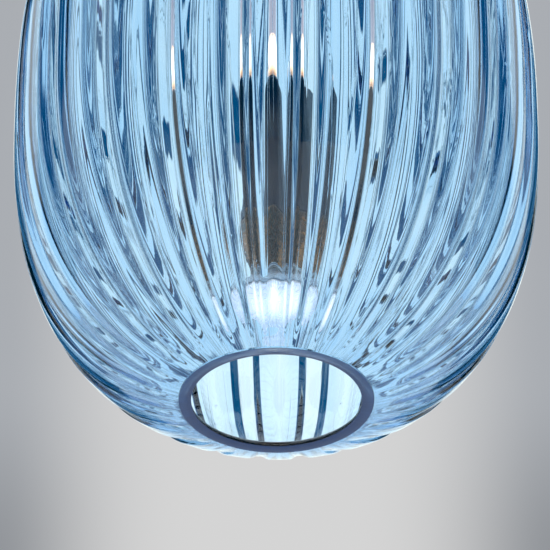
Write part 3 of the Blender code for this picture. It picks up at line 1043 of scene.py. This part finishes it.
class LANTERN_OT_column(bpy.types.Operator):
    """Turn the lit collar, the sleeve, the cup and the neck ring"""

    bl_idname = "lantern.column"
    bl_label = "Lit Collar and Column"

    def execute(self, context):
        # A large copper amount: the cup's copper patches are painted warm highlights.
        metal = bronze("cup_bronze", 0.9)
        edge = sizes().edge
        radius, bottom, top = span("sleeve_neck_ring")
        ring = [(ROD, top), (radius, top), (radius, bottom), (ROD, bottom)]
        piece = turned("collar_ring", softened(ring, edge), 96)
        settle(piece, "lantern", metal, "bronze", "sleeve_neck_ring")

        radius, bottom, top = span("glow_collar")
        glow = [
            (ROD, top),
            (radius - 0.8 * MM, top),
            (radius - 0.3 * MM, top - 5 * MM),
            (radius, bottom + 8 * MM),
            (radius, bottom),
            (ROD, bottom),
        ]
        piece = turned("glowing_collar", softened(glow, 1.2 * MM), 96)
        settle(piece, "lantern", glow_diffuser(), "warm_diffuser", "glow_collar")
        carry(matt("board_white", (0.86, 0.86, 0.82), 0.45, 900), "uplight_board")

        radius, bottom, top = span("sleeve")
        sheet = 1.4 * MM
        bore = radius - sheet
        bend = 6 * MM
        shell = [
            (ROD, top),
            *arc((radius - bend, top - bend), (bend, bend), 90, 0, 10),
            (radius, bottom + 0.3 * MM),
            (radius - 0.3 * MM, bottom),
            (bore, bottom),
            (bore, top - 6.4 * MM),
            (bore - 1.5 * MM, top - 2.9 * MM),
            (bore - 5 * MM, top - sheet),
            (ROD, top - sheet),
        ]
        piece = turned("lacquered_sleeve", shell, 128)
        settle(piece, "lantern", lacquer(), "navy_gloss", "sleeve")

        settle(self.cup(), "lantern", metal, "bronze", "bronze_cup")

        radius, bottom, top = span("neck_ring")
        bore = 11.9 * MM
        bulge = 0.5 * MM
        half = (top - bottom) / 2
        outer = arc((radius - bulge, bottom + half), (bulge, half), 90, -90, 10)
        ring = [(bore, top), *outer, (bore, bottom)]
        bright = brushed("bright_ring", (0.84, 0.80, 0.76), 0.06, 0.16, 2600, 0.3)
        piece = turned("bright_neck_ring", ring, 128)
        settle(piece, "lantern", bright, "bright_metal", "neck_ring")
        return {"FINISHED"}

    def cup(self):
        """The cup that draws in under the sleeve, of even sheet with a small chamfer at its top
        edge.
        """
        radius, bottom, top = span("bronze_cup")
        neck = 13 * MM
        sheet = 1.4 * MM
        steps = 16
        outer = []
        for i in range(steps + 1):
            part = i / steps
            outer.append((radius - (radius - neck) * part**1.7, top - (top - bottom) * part))
        outer[0] = (radius - 0.4 * MM, top)
        outer.insert(1, (radius, top - 0.6 * MM))
        inner = [(r - sheet, z) for r, z in outer[::-1]]
        return turned("drawn_cup", outer + inner, 128)


# ---------------------------------------------------------------- lamp


class LANTERN_OT_lamp(bpy.types.Operator):
    """Press the reflector lamp, and finish its holder, legs and pins"""

    bl_idname = "lantern.lamp"
    bl_label = "Reflector Lamp"

    def execute(self, context):
        radius, bottom, top = span("lamp_reflector")
        bowl = self.bowl(radius, bottom, top)
        settle(bowl, "lamp", fluted_reflector(), "clear_glass", "lamp_reflector", angle=30)

        radius, bottom, top = span("lamp_front_glass")
        front = [
            (0, top),
            (radius - 2 * MM, top),
            (radius, top - 0.4 * MM),
            (radius, bottom + 1.0 * MM),
            (radius - 1.2 * MM, bottom + 0.1 * MM),
            (radius - 3 * MM, bottom),
            (radius - 3.6 * MM, bottom + 0.35 * MM),
            (8 * MM, bottom + 0.2 * MM),
            (0, bottom + 0.1 * MM),
        ]
        piece = turned("pressed_front", front, 128, closed=False)
        settle(piece, "lamp", clear_glass(), "clear_glass", "lamp_front_glass")

        radius, bottom, top = span("lamp_emitter")
        crown = 2.4 * MM
        dome = [(0, top), (radius, top), *arc((0, bottom + crown), (radius, -crown), 0, 90, 6)]
        piece = turned("lit_dome", dome, 64, closed=False)
        settle(piece, "lamp", emitter_glow(), "warm_diffuser", "lamp_emitter")

        radius, bottom, top = span("lamp_base")
        base = [
            (0, top),
            (9.5 * MM, top),
            (10.6 * MM, top - 2 * MM),
            (10.8 * MM, top - 6 * MM),
            (10.2 * MM, top - 6.6 * MM),
            (10.2 * MM, top - 8 * MM),
            (10.9 * MM, top - 8.6 * MM),
            (radius, bottom + 5 * MM),
            (radius, bottom),
            (0, bottom),
        ]
        ceramic = matt("lamp_ceramic", (0.84, 0.82, 0.77), 0.42, 500, 0.00004)
        piece = turned("grooved_base", softened(base, 0.4 * MM), 96, closed=False)
        settle(piece, "lamp", ceramic, "ceramic", "lamp_base")
        carry(ceramic, "lampholder")
        pins = brushed("pin_metal", (0.78, 0.74, 0.66), 0.14, 0.3, 1500)
        steel = brushed("fitting_steel", (0.52, 0.52, 0.52), 0.3, 0.5, 900)
        carry(pins, "lamp_pin_1", "lamp_pin_2")
        carry(steel, "holder_plate", "holder_leg_1", "holder_leg_2", "joining_ring")
        return {"FINISHED"}

    def bowl(self, radius, bottom, top):
        """The fluted bowl: flutes run from the neck to the wide front edge."""
        neck = 11.6 * MM
        flare = 0.72
        rise = top - bottom
        outer = [(neck - 2 * MM, top), (neck - 0.3 * MM, top), (neck, top - 0.5 * MM)]
        steps = 12
        for i in range(1, steps + 1):
            part = i / steps
            height = top - 0.5 * MM - (rise - 1.7 * MM) * part
            outer.append((neck + (radius - neck) * part**flare, height))
        outer.append((radius, bottom))
        inner = [
            (radius - 1.5 * MM, bottom),
            (radius - 3.6 * MM, bottom + 4.6 * MM),
            (neck + 2 * MM, top - 4.6 * MM),
            (neck - 2 * MM, top - 1.6 * MM),
        ]
        bowl = turned("fluted_bowl", outer + inner, 192)
        flutes = 32
        sunk = 0.45 * MM
        for vertex in bowl.data.vertices:
            x, y, z = vertex.co
            edge = math.hypot(x, y)
            part = min(max((top - 1.2 * MM - z) / (2 * MM), 0), 1)
            part *= min(max((z - bottom - 0.6 * MM) / (1.5 * MM), 0), 1)
            wave = abs(math.sin(math.atan2(y, x) * flutes / 2))
            shrink = 1 - sunk * (1 - wave) * part / edge
            if edge > neck - 0.1 * MM:
                vertex.co.x *= shrink
                vertex.co.y *= shrink
        return bowl


# ---------------------------------------------------------------- stage

FLOOR = -2.35
EYE_DISTANCE = 3.0
EYE_TURN = 1.2  # degrees off the lantern's front
EYE_ELEVATION = -33.7  # degrees; the camera looks up
EYE_LENS = 377  # millimetres
AIM = (-0.75 * MM, 0, RIM + 77.9 * MM)
WINDOWS = 8  # round the whole horizon


class LANTERN_OT_stage(bpy.types.Operator):
    """Set up the floor, the soft lights, the surroundings and the camera"""

    bl_idname = "lantern.stage"
    bl_label = "Studio"

    def execute(self, context):
        self.floor()
        self.surroundings()
        self.lights()
        self.camera()
        context.scene.view_settings.view_transform = "Standard"
        return {"FINISHED"}

    def floor(self):
        """A wide pale floor under the lantern."""
        bpy.ops.object.select_all(action="DESELECT")
        bpy.ops.mesh.primitive_circle_add(
            vertices=96, radius=30, fill_type="NGON", location=(0, 0, FLOOR)
        )
        floor = bpy.context.object
        floor.name = "floor"
        floor.data.materials.append(pale_floor())

    def surroundings(self):
        """Grey to the eye, with a painted pool of light in its middle and painted shade towards its
        edges, darkest low down; tall soft windows to the glass and the polished metal.
        """
        world = bpy.data.worlds.new("studio")
        bpy.context.scene.world = world
        f = Finish(world)
        x, y, z = f.node("ShaderNodeTexCoord", output="Generated").parts()
        turn = f.math("ARCTAN2", y, x) * WINDOWS
        panes = f.step(f.math("COSINE", turn), -0.35, 0.2)
        behind = f.step(y, -0.30, 0.05)
        low = f.step(z, -0.1, 0.2, 1.0, 0.0)
        open_side = behind + low - behind * low
        height = f.step(z, -0.45, 0.15, 0.35, 1.0)
        given = colours()
        daylight = f.mix(f.step(z, -0.3, 0.1), given.floor_light, given.window)
        walls = f.mix(panes * height * open_side, given.shadow, daylight)
        seen = f.mix(f.step(z, 0.74, 0.88), walls, given.ceiling)
        sky = f.node("ShaderNodeBackground", {}, {"Color": seen, "Strength": 1.0})
        # Painted pool of light: the backdrop brightest in its middle.
        aside = turn - math.radians(WINDOWS * EYE_TURN)
        centre = f.step(f.math("COSINE", aside), 0.90, 0.995)
        # Painted shade: the backdrop's edges darker, and darker still low down.
        foot = f.step(z, 0.512, 0.540)
        painted_darker_foot = [c * 0.72 for c in given.backdrop_edge]
        edges = f.mix(foot, painted_darker_foot, given.backdrop_edge)
        grey = f.mix(centre, edges, given.backdrop)
        backdrop_with_painted_light = f.node("ShaderNodeBackground", {}, {"Color": grey, "Strength": 1.0})
        eye = f.node("ShaderNodeLightPath", output="Is Camera Ray")
        both = f.node("ShaderNodeMixShader", {}, {0: eye, 1: sky, 2: backdrop_with_painted_light})
        end = f.tree.nodes.new("ShaderNodeOutputWorld")
        f.tree.links.new(both.socket, end.inputs["Surface"])

    def lights(self):
        """Two large soft boxes, one to each side of the front."""
        for name, place, size, power in (
            ("left_box", (-6.0, -6.5, 3.0), (1.6, 5.0), 420),
            ("right_box", (7.5, 3.5, 4.5), (1.6, 5.0), 320),
        ):
            bpy.ops.object.light_add(type="AREA", location=place)
            lamp = bpy.context.object
            lamp.name = name
            lamp.data.shape = "RECTANGLE"
            lamp.data.size, lamp.data.size_y = size
            lamp.data.energy = power
            lamp.visible_camera = False
            lamp.visible_glossy = False
            lamp.visible_transmission = False
            aim = Vector((0, 0, RIM + 0.2)) - lamp.location
            lamp.rotation_euler = aim.to_track_quat("-Z", "Y").to_euler()

    def camera(self):
        """A long lens from below."""
        turn, rise = math.radians(EYE_TURN), math.radians(EYE_ELEVATION)
        back = Vector(
            (math.sin(turn) * math.cos(rise), -math.cos(turn) * math.cos(rise), math.sin(rise))
        )
        bpy.ops.object.camera_add(location=Vector(AIM) + back * EYE_DISTANCE)
        eye = bpy.context.object
        eye.rotation_euler = (-back).to_track_quat("-Z", "Y").to_euler()
        eye.data.lens = EYE_LENS
        eye.data.clip_end = 200
        bpy.context.scene.camera = eye


# ---------------------------------------------------------------- add-on


class LANTERN_PT_panel(bpy.types.Panel):
    """The lantern's sizes, colours and building steps"""

    bl_label = "Hanging Lantern"
    bl_space_type = "VIEW_3D"
    bl_region_type = "UI"
    bl_category = "Lantern"

    def draw(self, context):
        for group in (context.scene.lantern_sizes, context.scene.lantern_colours):
            box = self.layout.box()
            for name in group.__annotations__:
                box.prop(group, name)
        for step in STEPS:
            self.layout.operator(step.bl_idname)


STEPS = (
    LANTERN_OT_shade,
    LANTERN_OT_gallery,
    LANTERN_OT_hanger,
    LANTERN_OT_column,
    LANTERN_OT_lamp,
    LANTERN_OT_stage,
)
CLASSES = (LanternSizes, LanternColours, *STEPS, LANTERN_PT_panel)


def register():
    """Make the settings, steps and panel known."""
    for item in CLASSES:
        bpy.utils.register_class(item)
    bpy.types.Scene.lantern_sizes = bpy.props.PointerProperty(type=LanternSizes)
    bpy.types.Scene.lantern_colours = bpy.props.PointerProperty(type=LanternColours)


def unregister():
    """Take them away again."""
    del bpy.types.Scene.lantern_colours
    del bpy.types.Scene.lantern_sizes
    for item in reversed(CLASSES):
        bpy.utils.unregister_class(item)


def main():
    """Build the whole lantern."""
    register()
    for step in STEPS:
        group, name = step.bl_idname.split(".")
        getattr(getattr(bpy.ops, group), name)()


if __name__ == "__main__":
    main()
